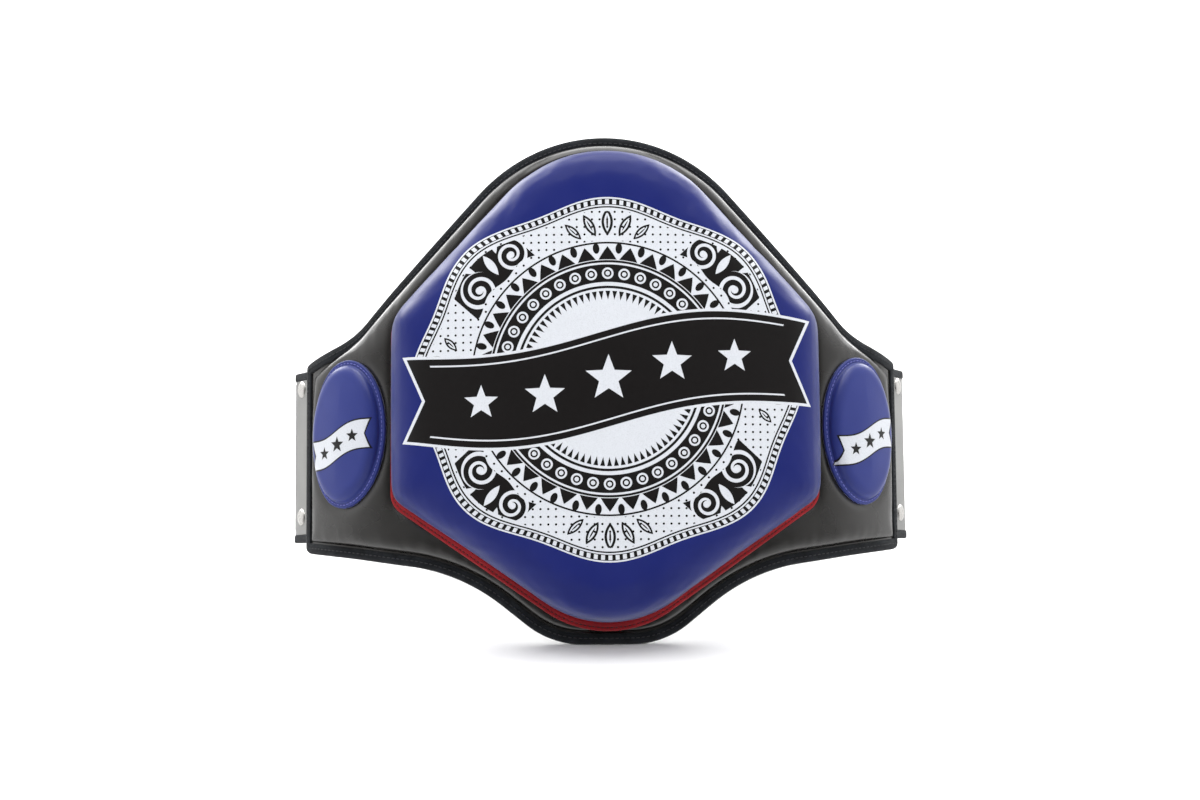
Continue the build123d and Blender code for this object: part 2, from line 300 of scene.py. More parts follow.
# ---- mesh helpers
def build(name, verts, faces, materials, face_mats=None, uv=None):
    mesh = bpy.data.meshes.new(name)
    mesh.from_pydata([tuple(v) for v in np.asarray(verts, float)], [], faces)
    for m in materials:
        mesh.materials.append(m)
    if face_mats is not None:
        mesh.polygons.foreach_set("material_index", np.asarray(face_mats, np.int32))
    mesh.polygons.foreach_set("use_smooth", [True] * len(mesh.polygons))
    if uv is not None:
        layer = mesh.uv_layers.new(name="run")
        layer.data.foreach_set("uv", np.asarray(uv, np.float32).ravel())
    obj = bpy.data.objects.new(name, mesh)
    bpy.context.scene.collection.objects.link(obj)
    return obj


def lattice(name, points, materials, close_rows=False, close_cols=False, caps=False, flip=False):
    """Quad mesh over a (rows, cols, 3) array; its UV holds the real lengths along and across."""
    rows, cols = points.shape[:2]
    run = lengths(points[:, 0], close_rows)
    across = lengths(points[rows // 2], close_cols)
    last_r = rows if close_rows else rows - 1
    last_c = cols if close_cols else cols - 1
    faces, uv = [], []
    for i in range(last_r):
        i1 = (i + 1) % rows
        for j in range(last_c):
            j1 = (j + 1) % cols
            quad = [i * cols + j, i1 * cols + j, i1 * cols + j1, i * cols + j1]
            r0, r1, c0, c1 = run[i], run[i + 1], across[j], across[j + 1]
            cell = [(r0, c0), (r1, c0), (r1, c1), (r0, c1)]
            if flip:
                quad.reverse()
                cell.reverse()
            faces.append(quad)
            uv.extend(cell)
    if caps:
        first = list(range(cols))
        final = [(rows - 1) * cols + j for j in range(cols)]
        for ring, turned in ((first, not flip), (final, flip)):
            order = ring if not turned else ring[::-1]
            faces.append(order)
            uv.extend([(0.0, across[j % len(across)]) for j in range(cols)])
    return build(name, points.reshape(-1, 3), faces, materials, None, uv)


def sweep(name, outer, inner, width, section, place, materials):
    """Band between two matching lines; its section gives inward distance and height in mm."""
    cols = []
    for a, n in section:
        line = outer + (inner - outer) * (a * MM / width)
        cols.append(place(line[:, 0], line[:, 1], n * MM))
    return outward(lattice(name, np.stack(cols, axis=1), materials, close_rows=True, close_cols=True))


def outward(obj):
    """Makes every face of a closed mesh look out."""
    bm = bmesh.new()
    bm.from_mesh(obj.data)
    bmesh.ops.recalc_face_normals(bm, faces=bm.faces)
    bm.to_mesh(obj.data)
    bm.free()
    return obj


def two_runs(low, high, count, start, edge_count):
    """Ring sizes of a cushion, the last ones closer together out to its edge."""
    return np.concatenate([np.linspace(low, high, count), np.linspace(start, 1.0, edge_count)])


def ring_quads(rings, count, first=0, turned=False):
    """Faces between rings of count points each, the first of them at a given vertex."""
    faces = []
    for k in range(rings - 1):
        for j in range(count):
            j1 = (j + 1) % count
            quad = [k * count + j, k * count + j1, (k + 1) * count + j1, (k + 1) * count + j]
            if turned:
                quad = [quad[0], quad[3], quad[2], quad[1]]
            faces.append([v + first for v in quad])
    return faces


def closed_rings(rings, count, first_pole, last_pole):
    """Faces of a closed body: its rings, and a fan to a pole at either end."""
    faces = ring_quads(rings, count)
    last = (rings - 1) * count
    for j in range(count):
        j1 = (j + 1) % count
        faces += [[first_pole, j1, j], [last_pole, last + j, last + j1]]
    return faces


def disc(name, line, centre, shares, top, bottom, place, materials):
    """Closed cushion over a star-shaped line; top and bottom give heights from 2-D points."""
    count = len(line)
    rings = [centre + (line - centre) * t for t in shares]
    verts = [place(r[:, 0], r[:, 1], top(r)) for r in rings]
    verts += [place(r[:, 0], r[:, 1], bottom(r)) for r in rings[::-1]]
    mid = centre[None, :]
    pole_top = place(mid[:, 0], mid[:, 1], top(mid))
    pole_low = place(mid[:, 0], mid[:, 1], bottom(mid))
    pts = np.vstack(verts + [pole_top, pole_low])
    flat = np.vstack(rings + rings[::-1] + [mid, mid])
    faces = closed_rings(len(verts), count, len(pts) - 2, len(pts) - 1)
    uv = [tuple(flat[v]) for face in faces for v in face]
    index = None
    if len(materials) == 2:
        quads = (len(verts) - 1) * count
        index = [0 if k < len(rings) * count else 1 for k in range(quads)] + [0, 1] * count
    return outward(build(name, pts, faces, materials, index, uv))


def tangents(line, closed=True):
    """Unit direction of a line at each of its points."""
    step = np.roll(line, -1, axis=0) - np.roll(line, 1, axis=0)
    if not closed:
        step[0] = line[1] - line[0]
        step[-1] = line[-1] - line[-2]
    return step / (np.linalg.norm(step, axis=1)[:, None] + 1e-12)


def stitches(name, path, lift, material, body, pitch=0.004, size=0.0031, radius=0.00038):
    """Row of thread stitches along a path of points; lift gives the way out of the surface."""
    count = max(3, int(lengths(path)[-1] / pitch))
    centres = resample(path, count)
    ups = resample(lift, count)
    ups /= np.linalg.norm(ups, axis=1)[:, None]
    dirs = tangents(centres)
    sides = np.cross(ups, dirs)
    sides /= np.linalg.norm(sides, axis=1)[:, None]
    rings = [(-0.5, 0.25), (-0.32, 0.9), (0.0, 1.0), (0.32, 0.9), (0.5, 0.25)]
    around = 6
    base = []
    for t, r in rings:
        for k in range(around):
            a = 2 * pi * k / around
            arch = -0.9 * (2 * t) ** 4
            base.append((t * size, r * radius * cos(a), r * radius * sin(a) + (0.35 + arch) * radius))
    base = np.array(base)
    cells = ring_quads(len(rings), around)
    cells.append(list(range(around))[::-1])
    cells.append([(len(rings) - 1) * around + k for k in range(around)])
    verts, faces = [], []
    for i in range(count):
        pts = centres[i] + base[:, :1] * dirs[i] + base[:, 1:2] * sides[i] + base[:, 2:3] * ups[i]
        shift = len(base) * i
        verts.append(pts)
        faces += [[v + shift for v in c] for c in cells]
    obj = outward(build(name, np.vstack(verts), faces, [material]))
    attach(obj, body)
    return obj


def row_on(place, line, n, up=0.0004):
    """Path of points on a surface, and the way out of it, for a row of stitches."""
    path = place(line[:, 0], line[:, 1], n)
    return path, place(line[:, 0], line[:, 1], n + up) - path


# ---- materials
def nodes_of(name):
    mat = bpy.data.materials.new(name)
    mat.use_nodes = True
    tree = mat.node_tree
    shader = tree.nodes["Principled BSDF"]
    return mat, tree, shader


def add(tree, kind, **values):
    """New node with its settings."""
    node = tree.nodes.new(kind)
    for key, value in values.items():
        setattr(node, key, value)
    return node


def put(node, values):
    """Sets a node's own sockets by name."""
    for key, value in values.items():
        node.inputs[key].default_value = value


def math_node(tree, op, a, b=None):
    node = add(tree, "ShaderNodeMath", operation=op)
    for socket, value in zip(node.inputs, (a, b)):
        if value is None:
            continue
        if isinstance(value, (int, float)):
            socket.default_value = value
        else:
            tree.links.new(value, socket)
    return node.outputs[0]


def noise_tex(tree, coords, scale, detail=3.0, rough=0.55):
    node = add(tree, "ShaderNodeTexNoise")
    put(node, {"Scale": scale, "Detail": detail, "Roughness": rough})
    tree.links.new(coords, node.inputs["Vector"])
    return node.outputs["Fac"]


def ramp(tree, fac, stops):
    node = add(tree, "ShaderNodeValToRGB")
    el = node.color_ramp.elements
    while len(el) < len(stops):
        el.new(0.5)
    for e, (pos, color) in zip(el, stops):
        e.position = pos
        e.color = (*color, 1.0)
    tree.links.new(fac, node.inputs["Fac"])
    return node.outputs["Color"]


def span(tree, fac, low, high, out_low, out_high):
    """Maps one range of a value to another, held at its ends."""
    node = add(tree, "ShaderNodeMapRange")
    put(node, {"From Min": low, "From Max": high, "To Min": out_low, "To Max": out_high})
    tree.links.new(fac, node.inputs["Value"])
    return node.outputs["Result"]


def relief(tree, shader, height, strength, depth):
    """Bump of a given depth in metres."""
    bump = add(tree, "ShaderNodeBump")
    put(bump, {"Strength": strength, "Distance": depth})
    tree.links.new(height, bump.inputs["Height"])
    tree.links.new(bump.outputs["Normal"], shader.inputs["Normal"])


def tint(color, gain, lift=0.0):
    return tuple(min(1.0, c * gain + lift) for c in color)


def colour(tree, shader, fac, stops):
    """Base colour that follows a value."""
    tree.links.new(ramp(tree, fac, stops), shader.inputs["Base Color"])


def object_coords(tree):
    return add(tree, "ShaderNodeTexCoord").outputs["Object"]


def operation(kind):
    """Method that puts a number through a maths node of one kind."""

    def method(self, *others):
        return self.op(kind, *others)

    return method


class Expr:
    """A number carried by a node socket, so that a printed pattern can be written as formulas."""

    def __init__(self, tree, socket):
        self.tree = tree
        self.socket = socket

    def op(self, kind, *others):
        node = add(self.tree, "ShaderNodeMath", operation=kind)
        for socket, value in zip(node.inputs, (self, *others)):
            if isinstance(value, Expr):
                self.tree.links.new(value.socket, socket)
            else:
                socket.default_value = value
        return Expr(self.tree, node.outputs[0])

    __add__ = __radd__ = operation("ADD")
    __sub__ = operation("SUBTRACT")
    __mul__ = __rmul__ = operation("MULTIPLY")
    __truediv__ = operation("DIVIDE")
    __pow__ = operation("POWER")
    __and__ = operation("MINIMUM")
    __or__ = operation("MAXIMUM")
    __lt__ = operation("LESS_THAN")
    __gt__ = operation("GREATER_THAN")
    abs = operation("ABSOLUTE")
    sin = operation("SINE")
    cos = operation("COSINE")
    root = operation("SQRT")

    def __rsub__(self, other):
        return (self * -1.0).op("ADD", other)

    def within(self, size):
        """Distance from the nearest whole multiple of a size, with its sign."""
        return self.op("ADD", size / 2).op("FLOORED_MODULO", size) - size / 2

    def between(self, low, high):
        return (self > low) & (self < high)

    def without(self, other):
        return self & (1.0 - other)


def reach(u, v):
    return (u * u + v * v).root()


def plane_of(tree, origin, right, up):
    """Coordinates in millimetres on a plane fixed to the object."""
    at = object_coords(tree)
    out = []
    for axis in (right, up):
        dot = add(tree, "ShaderNodeVectorMath", operation="DOT_PRODUCT")
        tree.links.new(at, dot.inputs[0])
        dot.inputs[1].default_value = tuple(axis)
        out.append((Expr(tree, dot.outputs["Value"]) - float(np.dot(origin, axis))) * 1000.0)
    return out


def star(u, v, size, points=5):
    """Mask of a plain star with one tip up."""
    sector = pi / points
    angle = u.op("ARCTAN2", v).within(2 * sector).abs()
    r = reach(u, v)
    a, b = r * angle.cos(), r * angle.sin()
    inner = size * 0.42
    ex, ey = size - inner * cos(sector), -inner * sin(sector)
    side = (a - inner * cos(sector)) * ey - (b - inner * sin(sector)) * ex
    return side > 0.0


def curl(u, v, cu, cv, size, turns, hand, phase):
    """Mask of a tapering spiral curl round a centre."""
    du, dv = u - cu, (v - cv) * hand
    r = reach(du, dv)
    angle = dv.op("ARCTAN2", du) + phase
    pitch = size / turns
    arm = (r - angle * (pitch / (2 * pi))).within(pitch).abs()
    return (arm < (r * 0.055 + pitch * 0.13)) & (r < size) | (r < pitch * 0.42)


def leaf(u, v, cu, cv, length, width, angle):
    """Mask of a pointed leaf."""
    c, k = cos(angle), sin(angle)
    a = (u - cu) * c + (v - cv) * k
    b = (v - cv) * c - (u - cu) * k
    swell = 1.0 - (a / (length / 2)) * (a / (length / 2))
    return b.abs() < (swell * (width / 2))


def paint(tree, shader, layers):
    """Lays inks over the base colour, each one (mask, colour), the last on top."""
    link = shader.inputs["Base Color"].links[0]
    below = link.from_socket
    at = object_coords(tree)
    fleck = noise_tex(tree, at, 1500.0, 2.0, 0.7)
    for mask, color in layers:
        ink = ramp(tree, fleck, [(0.36, tint(color, 0.86)), (0.52, color)])
        mix = add(tree, "ShaderNodeMix", data_type="RGBA")
        tree.links.new(mask.socket, mix.inputs["Factor"])
        tree.links.new(below, mix.inputs["A"])
        tree.links.new(ink, mix.inputs["B"])
        below = mix.outputs["Result"]
    tree.links.new(below, shader.inputs["Base Color"])


def leather(name, color, rough=0.42, grain=900.0, depth=0.00010, mottle=0.18, coat=0.0, specular=0.5):
    """Grained leather: cells and pores in the bump, patchy colour and uneven gloss."""
    mat, tree, shader = nodes_of(name)
    at = object_coords(tree)
    patch = noise_tex(tree, at, 22.0, 2.0)
    fine = noise_tex(tree, at, grain, 1.0, 0.5)
    colour(tree, shader, patch, [(0.32, tint(color, 1 - mottle)), (0.68, tint(color, 1 + mottle, 0.004))])
    cells = add(tree, "ShaderNodeTexVoronoi", feature="DISTANCE_TO_EDGE")
    put(cells, {"Scale": grain, "Randomness": 0.9})
    warp = add(tree, "ShaderNodeVectorMath", operation="ADD")
    jitter = add(tree, "ShaderNodeVectorMath", operation="SCALE")
    drift = add(tree, "ShaderNodeTexNoise")
    put(drift, {"Scale": grain * 0.6})
    put(jitter, {"Scale": 0.6 / grain})
    tree.links.new(at, drift.inputs["Vector"])
    tree.links.new(drift.outputs["Color"], jitter.inputs[0])
    tree.links.new(at, warp.inputs[0])
    tree.links.new(jitter.outputs[0], warp.inputs[1])
    tree.links.new(warp.outputs[0], cells.inputs["Vector"])
    plates = span(tree, cells.outputs["Distance"], 0.0, 0.22, 0.0, 1.0)
    height = math_node(tree, "MULTIPLY_ADD", fine, 0.35)
    tree.links.new(plates, height.node.inputs[2])
    relief(tree, shader, height, 0.35, depth)
    gloss = noise_tex(tree, at, 35.0, 1.0)
    tree.links.new(span(tree, gloss, 0.2, 0.8, rough - 0.03, rough + 0.04), shader.inputs["Roughness"])
    put(shader, {"Specular IOR Level": specular})
    if coat:
        put(shader, {"Coat Weight": coat, "Coat Roughness": 0.18})
    return mat


def woven(name, color, pitch=0.0009, depth=0.00018, rough=0.85, sheen=0.25, ribs=False, patchy=1.0):
    """Cloth or tape woven at a pitch in metres; the weave follows the piece's own run and width."""
    mat, tree, shader = nodes_of(name)
    uv = add(tree, "ShaderNodeUVMap", uv_map="run").outputs["UV"]
    split = add(tree, "ShaderNodeSeparateXYZ")
    tree.links.new(uv, split.inputs[0])
    waves = []
    for axis, share in (("X", 1.0), ("Y", 2.4 if ribs else 1.0)):
        turn = math_node(tree, "MULTIPLY", split.outputs[axis], 2 * pi / (pitch * share))
        waves.append(math_node(tree, "SINE", turn))
    cross = math_node(tree, "MULTIPLY", waves[0], waves[1])
    if ribs:
        cross = math_node(tree, "ADD", cross, waves[1])
    at = object_coords(tree)
    fuzz = noise_tex(tree, at, 1400.0, 2.0, 0.7)
    relief(tree, shader, math_node(tree, "ADD", cross, fuzz), 0.8, depth)
    # The colour follows the weave's height as well as a slow noise: raised threads are painted lighter and
    # the hollows between them darker, a painted shade, besides random tone; patchy sets the contrast of both.
    low, high = tint(color, 1 - 0.45 * patchy), tint(color, 1 + 0.5 * patchy, 0.006 * patchy)
    blend = math_node(tree, "MULTIPLY_ADD", cross, 0.18)
    tree.links.new(noise_tex(tree, at, 90.0, 3.0), blend.node.inputs[2])
    colour(tree, shader, blend, [(0.25, low), (0.8, high)])
    put(shader, {"Roughness": rough, "Specular IOR Level": 0.25})
    put(shader, {"Sheen Weight": sheen, "Sheen Roughness": 0.4})
    return mat


def thread(name, color, rough=0.55):
    """Sewing thread with the fine shading of its plies."""
    mat, tree, shader = nodes_of(name)
    ply = noise_tex(tree, object_coords(tree), 2600.0, 2.0, 0.6)
    colour(tree, shader, ply, [(0.35, tint(color, 0.7)), (0.65, tint(color, 1.25))])
    relief(tree, shader, ply, 0.6, 0.0001)
    put(shader, {"Roughness": rough})
    return mat


def metal(name, color, rough=0.2):
    """Plated metal with faint smudges in its colour and gloss."""
    mat, tree, shader = nodes_of(name)
    smudge = noise_tex(tree, object_coords(tree), 350.0, 4.0)
    colour(tree, shader, smudge, [(0.35, tint(color, 0.86)), (0.7, color)])
    tree.links.new(span(tree, smudge, 0.3, 0.7, rough, rough + 0.16), shader.inputs["Roughness"])
    put(shader, {"Metallic": 1.0})
    return mat


def pile(name, color, scale, depth, rough=0.95, sheen=0.3):
    """Hook or loop tape: a close pile of hooks or brushed loops."""
    mat, tree, shader = nodes_of(name)
    at = object_coords(tree)
    tuft = add(tree, "ShaderNodeTexVoronoi")
    put(tuft, {"Scale": scale})
    tree.links.new(at, tuft.inputs["Vector"])
    fuzz = noise_tex(tree, at, scale * 2.2, 2.0, 0.7)
    relief(tree, shader, math_node(tree, "SUBTRACT", fuzz, tuft.outputs["Distance"]), 1.0, depth)
    # The colour follows the tufts' height: their tops are painted lighter and the gaps between them darker, a
    # painted highlight and painted shade.
    stops = [(0.1, tint(color, 1.7, 0.01)), (0.75, tint(color, 0.4))]
    colour(tree, shader, tuft.outputs["Distance"], stops)
    put(shader, {"Roughness": rough, "Sheen Weight": sheen})
    return mat


M_SHELL = leather("shell_leather_grey", (0.0120, 0.0107, 0.0094), 0.27, 520.0, 0.00005, 0.03, 0.72)
M_PAD = leather("pad_leather_blue", (0.009, 0.015, 0.122), 0.33, 560.0, 0.00005, 0.02, 0.0, 0.16)
# The side pads are the strike pad's blue leather, with their base colour painted lighter to stand in for the
# light they catch facing sideways: a painted highlight.
M_OVAL_PAINTED_LIGHTER = leather("oval_leather_blue_painted_lighter", (0.023, 0.034, 0.180), 0.31, 560.0, 0.00005, 0.02, 0.0, 0.38)
M_RED = leather("flange_leather_red", (0.27, 0.006, 0.011), 0.42, 900.0, 0.00006, 0.12, 0.0, 0.25)
M_TAB = leather("tab_leather_grey", (0.24, 0.24, 0.233), 0.45, 850.0, 0.00010, 0.10)
M_PANEL = leather("panel_leather_dark", (0.022, 0.0205, 0.019), 0.40, 800.0, 0.00014, 0.15)
M_TAPE = woven("binding_tape_black", (0.009, 0.011, 0.014), 0.0011, 0.00022, 0.85, 0.1)
M_LINER = woven("liner_nylon_black", (0.018, 0.018, 0.020), 0.0007, 0.00010, 0.75, 0.15, False, 0.35)
M_ELASTIC = woven("elastic_webbing_black", (0.018, 0.018, 0.020), 0.0013, 0.00035, 0.8, 0.3, True)
M_HOOK = pile("hook_tape_black", (0.009, 0.009, 0.010), 900.0, 0.0006, 0.6, 0.0)
M_LOOP = pile("loop_tape_black", (0.012, 0.012, 0.014), 1300.0, 0.0005)
M_NICKEL = metal("rivet_nickel", (0.80, 0.78, 0.75))
M_THREAD_DARK = thread("thread_charcoal", (0.030, 0.030, 0.034))
M_THREAD_RED = thread("thread_dark_red", (0.05, 0.002, 0.005))
M_THREAD_BLUE = thread("thread_light_blue", (0.16, 0.17, 0.52))

# The blue leather's fine dressing lightens it where it is seen edge-on.
for mat in (M_PAD, M_OVAL_PAINTED_LIGHTER):
    shader = mat.node_tree.nodes["Principled BSDF"]
    put(shader, {"Sheen Weight": 0.22, "Sheen Roughness": 0.28, "Sheen Tint": (0.80, 0.84, 1.0, 1.0)})

# ---- printed decoration
# A plain plaque of the builder's own: rings, beads, teeth, leaves and curls, with a blank ribbon
# across it and five plain stars. It carries no lettering.
INK_WHITE = (0.60, 0.62, 0.66)
INK_BLACK = (0.009, 0.008, 0.008)


def print_plaque(mat):
    """The plaque and the ribbon across it, in mm from the middle of the strike pad."""
    tree = mat.node_tree
    shader = tree.nodes["Principled BSDF"]
    origin = stand(0.0, -0.05, 0.2085)
    up = stand(0.0, 0.0, 1.0) - stand(0.0, 0.0, 0.0)
    u, v = plane_of(tree, origin, (1.0, 0.0, 0.0), up)
    au, av = u.abs(), v.abs()
    r = reach(u, v)
    angle = v.op("ARCTAN2", u)

    # Lobed plaque: d is the distance inside its edge.
    su, sv = u / 152.0, v / 140.0
    lobe = (sv.op("ARCTAN2", su) * 8.0).cos() * 0.028 + 1.0
    size = ((au / 152.0) ** 2.1 + (av / 140.0) ** 2.1) ** (1 / 2.1)
    d = (1.0 - size / lobe) * 146.0
    plaque = d > 0.0
    tick = (sv.op("ARCTAN2", su) * (168 / (2 * pi))).within(1.0).abs() < 0.27
    edge_black = d.between(1.3, 6.2).without(tick & d.between(1.9, 5.6))
    edge_line = d.between(7.4, 8.6)

    # Medallion rings.
    teeth_cell = (angle * (36 / (2 * pi))).within(1.0).abs()
    teeth = r.between(94.0, 106.0) & ((r - 94.0) / 24.0 + teeth_cell < 0.44)
    petal_cell = (angle * (36 / (2 * pi)) + 0.5).within(1.0) * (r * (2 * pi / 36))
    petals = reach(petal_cell, (r - 103.0) * 0.62) < 2.6
    rings = r.between(91.6, 93.4) | r.between(106.6, 108.0) | r.between(71.0, 73.0)
    band = r.between(76.0, 90.0)
    bead_cell = (angle * (40 / (2 * pi))).within(1.0) * (r * (2 * pi / 40))
    bead = reach(bead_cell, r - 83.0)
    beads = (bead < 4.6).without(bead.between(1.7, 3.0))
    tooth_cell = (angle * (80 / (2 * pi))).within(1.0).abs()
    ray = r.between(61.0, 69.0) & (tooth_cell * 2.0 + (69.0 - r) / 10.0 < 0.72)

    # Corner fields: black grounds with white curls and leaves, mirrored four ways.
    field = (d > 11.5) & (r > 112.0)
    sector = (av * 0.94 - au * 0.86).abs() < 43.0
    scallop = (r - 112.0) > ((angle * 20.0).cos() * 1.6 + 2.0)
    corner = field & sector & scallop
    white = curl(au, av, 101.0, 71.0, 15.0, 2.1, 1.0, 0.4)
    for cu, cv, wide, turns, hand, phase in (
        (76.0, 99.0, 13.0, 2.0, -1.0, 2.2),
        (120.0, 45.0, 10.5, 1.9, -1.0, 3.4),
        (52.0, 112.0, 8.5, 1.8, 1.0, 0.6),
    ):
        white = white | curl(au, av, cu, cv, wide, turns, hand, phase)
    for cu, cv, long, wide, turn in (
        (92.0, 91.0, 20.0, 6.5, 0.9),
        (112.0, 88.0, 17.0, 5.0, 0.35),
        (90.0, 108.0, 16.0, 5.0, 1.3),
        (126.0, 66.0, 16.0, 5.0, 1.2),
        (66.0, 117.0, 14.0, 4.5, 0.3),
    ):
        white = white | leaf(au, av, cu, cv, long, wide, turn)

    # Fans of outlined leaves between the corner fields.
    fans = None
    for cu, cv, long, wide, turn in (
        (0.0, 124.0, 22.0, 9.0, pi / 2),
        (14.0, 121.0, 20.0, 7.5, 1.05),
        (27.0, 116.0, 18.0, 6.5, 0.75),
        (133.0, 0.0, 24.0, 9.0, 0.0),
        (130.0, 15.0, 21.0, 7.5, 0.45),
        (124.0, 29.0, 15.0, 6.0, 0.8),
    ):
        solid = leaf(au, av, cu, cv, long, wide, turn)
        core = leaf(au, av, cu, cv, long * 0.72, wide * 0.55, turn)
        vein = leaf(au, av, cu, cv, long * 0.5, wide * 0.16, turn)
        shape = solid.without(core) | vein
        fans = shape if fans is None else fans | shape
    fans = fans & field.without(corner)
    dots = reach(au.within(6.0), av.within(6.0)) < 0.9
    ground = dots & (d > 10.0) & (r > 109.0)

    # Blank ribbon with a wave, swallow tails and a keyline.
    wave = v - u * 0.10 - (u * (pi / 150.0)).sin() * 9.0
    half = 33.0 + (u * (pi / 300.0)).cos() * 5.0
    t = wave / half
    ends = au - t.abs() * 15.0
    keyline = (wave.abs() < (half + 2.2)) & (ends < 147.0)
    ribbon = (wave.abs() < half) & (ends < 144.5)
    inset_line = (half - wave.abs()).between(5.0, 6.3) & (ends < 128.0)
    stars = None
    for k in range(-2, 3):
        centre_u = k * 50.0
        centre_v = centre_u * 0.10 + sin(centre_u * pi / 150.0) * 9.0
        shape = star(u - centre_u, v - centre_v, 19.0 - abs(k) * 2.5)
        stars = shape if stars is None else stars | shape
    notch = (wave.abs() < half) & (ends > 144.5)
    inks = [
        (plaque.without(notch), INK_WHITE),
        ((edge_black | edge_line | (ground | fans)).without(notch), INK_BLACK),
        (corner, INK_BLACK),
        (white & corner, INK_WHITE),
        (teeth | rings | band | ray | petals, INK_BLACK),
        (beads & band, INK_WHITE),
        (keyline, INK_WHITE),
        (ribbon, INK_BLACK),
        (stars | inset_line, INK_WHITE),
    ]
    paint(tree, shader, inks)


def print_ribbon(mat, side):
    """Small blank ribbon with three stars on a side pad."""
    tree = mat.node_tree
    shader = tree.nodes["Principled BSDF"]
    origin = stand(side * (WING_X + WING_R * sin(OVAL_A)), WING_Y - WING_R * cos(OVAL_A), 0.1650)
    right = stand(cos(OVAL_A), side * sin(OVAL_A), 0.0) - stand(0.0, 0.0, 0.0)
    up = stand(0.0, 0.0, 1.0) - stand(0.0, 0.0, 0.0)
    u, v = plane_of(tree, origin, right, up)
    wave = v - u * 0.30 - (u * (pi / 28.0)).sin() * 2.4
    t = (wave / 11.5).abs()
    ends = u.abs() - t * 4.5
    keyline = (wave.abs() < 12.8) & (ends < 27.3)
    ribbon = (wave.abs() < 11.5) & (ends < 26.0)
    stars = None
    for k in (-1, 0, 1):
        cu = k * 15.0
        cv = cu * 0.30 + sin(cu * pi / 28.0) * 2.4
        shape = star(u - cu, v - cv, 7.0 - abs(k) * 1.2)
        stars = shape if stars is None else stars | shape
    paint(tree, shader, [(keyline, INK_BLACK), (ribbon, INK_WHITE), (stars, INK_BLACK)])


print_plaque(M_PAD)
M_OVALS = {}
for oval_side in (-1, 1):
    M_OVALS[oval_side] = M_OVAL_PAINTED_LIGHTER.copy()
    M_OVALS[oval_side].name = "oval_leather_" + ("left" if oval_side < 0 else "right")
    print_ribbon(M_OVALS[oval_side], oval_side)

# ---- padded shell
margin_line = SHELL_LINE + (TAPE_LINE - SHELL_LINE) * (0.006 / TAPE)
oval_edges = {side: oval_line(side) for side in (-1, 1)}


def limits(s, line):
    """Lowest and highest z of a closed line at each length s."""
    low, high = np.full(len(s), 9.0), np.full(len(s), -9.0)
    for p, q in zip(line, np.roll(line, -1, axis=0)):
        if abs(p[0] - q[0]) < 1e-9:
            continue
        t = (s - p[0]) / (q[0] - p[0])
        hit = (t >= 0) & (t <= 1)
        z = p[1] + (q[1] - p[1]) * t
        low = np.where(hit, np.minimum(low, z), low)
        high = np.where(hit, np.maximum(high, z), high)
    return low, high


EDGE_ROWS = MM * np.array(
    [0, 0.6, 1.0, 1.5, 2.1, 2.8, 3.5, 4.2, 4.8, 5.4, 6.1, 7.0, 8.2, 9.8, 12.0, 15.0, 19.0, 24.0]
)


def spread(low, high, stretch, count):
    """Positions from low to high, close together near both ends, where the edge needs them."""
    near = low[:, None] + EDGE_ROWS * stretch[0][:, None]
    far = high[:, None] - EDGE_ROWS[::-1] * stretch[1][:, None]
    share = np.linspace(0, 1, count)[1:-1]
    middle = near[:, -1:] + (far[:, :1] - near[:, -1:]) * share
    return np.concatenate([near, middle, far], axis=1)


def shell_grid(cols=230, rows=64):
    """Points (length along, height) over the whole shell, up to just under its tape."""
    end = margin_line[:, 0].max() - 1e-5
    one = np.ones(1)
    s = spread(one * -end, one * end, (one, one), cols)[0]
    low, high = limits(s, margin_line)
    slopes = [np.minimum(np.sqrt(1 + np.gradient(z, s) ** 2), 1.6) for z in (low, high)]
    z = spread(low, high, slopes, rows)
    return np.stack([np.broadcast_to(s[:, None], z.shape), z], axis=-1)


grid = shell_grid()
grid_out = edge_distance(grid, SHELL_LINE)
grid_flange = -edge_distance(grid, FLANGE_LINE)


def cover_height(points, out, flange):
    """Height of the grey cover: flat at the tape and the flange, a pillow between them."""
    corner = np.hypot(np.abs(points[..., 0]) - WING_S, points[..., 1] - WING_TOP) / 0.030
    upper = ease(points[..., 1], 0.20, 0.27)
    margin = 0.0108 - 0.0042 * upper + 0.0085 * np.exp(-(corner**2))
    swell = rise(out - margin, 0.0150 + 0.0130 * upper)
    low = -0.0024 - setback(points[..., 0])
    n = low + (0.0016 - low) * swell - 0.0020 * (1 - rise(flange, 0.0070))
    for edge in oval_edges.values():
        gap = -edge_distance(points, edge)
        n -= 0.0016 * np.exp(-((np.clip(gap, 0, None) / 0.004) ** 2)) * swell
    pucker = ripple(points * np.array([1.0, 0.35]), 0.006, 3.1) * np.exp(-(((out - 0.0150) / 0.008) ** 2))
    n += 0.00035 * pucker * swell
    n += 0.00045 * ripple(points, 0.045, 1.7) * swell
    return n


cover_points = wrap(grid[..., 0], grid[..., 1], cover_height(grid, grid_out, grid_flange))
cover = lattice("shell_cover_leather", cover_points, [M_SHELL], flip=True)
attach(cover, "pad")
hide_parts("shell_cover", "shell_foam")


def liner_height(points, out):
    """Height of the liner, behind the shell: a flat cushion with soft creases."""
    low = 0.0058 + setback(points[..., 0])
    n = -low - (0.0218 - low) * rise(out - 0.0095, 0.030)
    n += 0.0006 * ripple(points, 0.05, 6.3) * ease(out, 0.01, 0.03)
    return n


liner_points = wrap(grid[..., 0], grid[..., 1], liner_height(grid, grid_out))
liner = lattice("shell_liner_nylon", liner_points, [M_LINER])
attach(liner, "pad")
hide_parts("shell_liner")

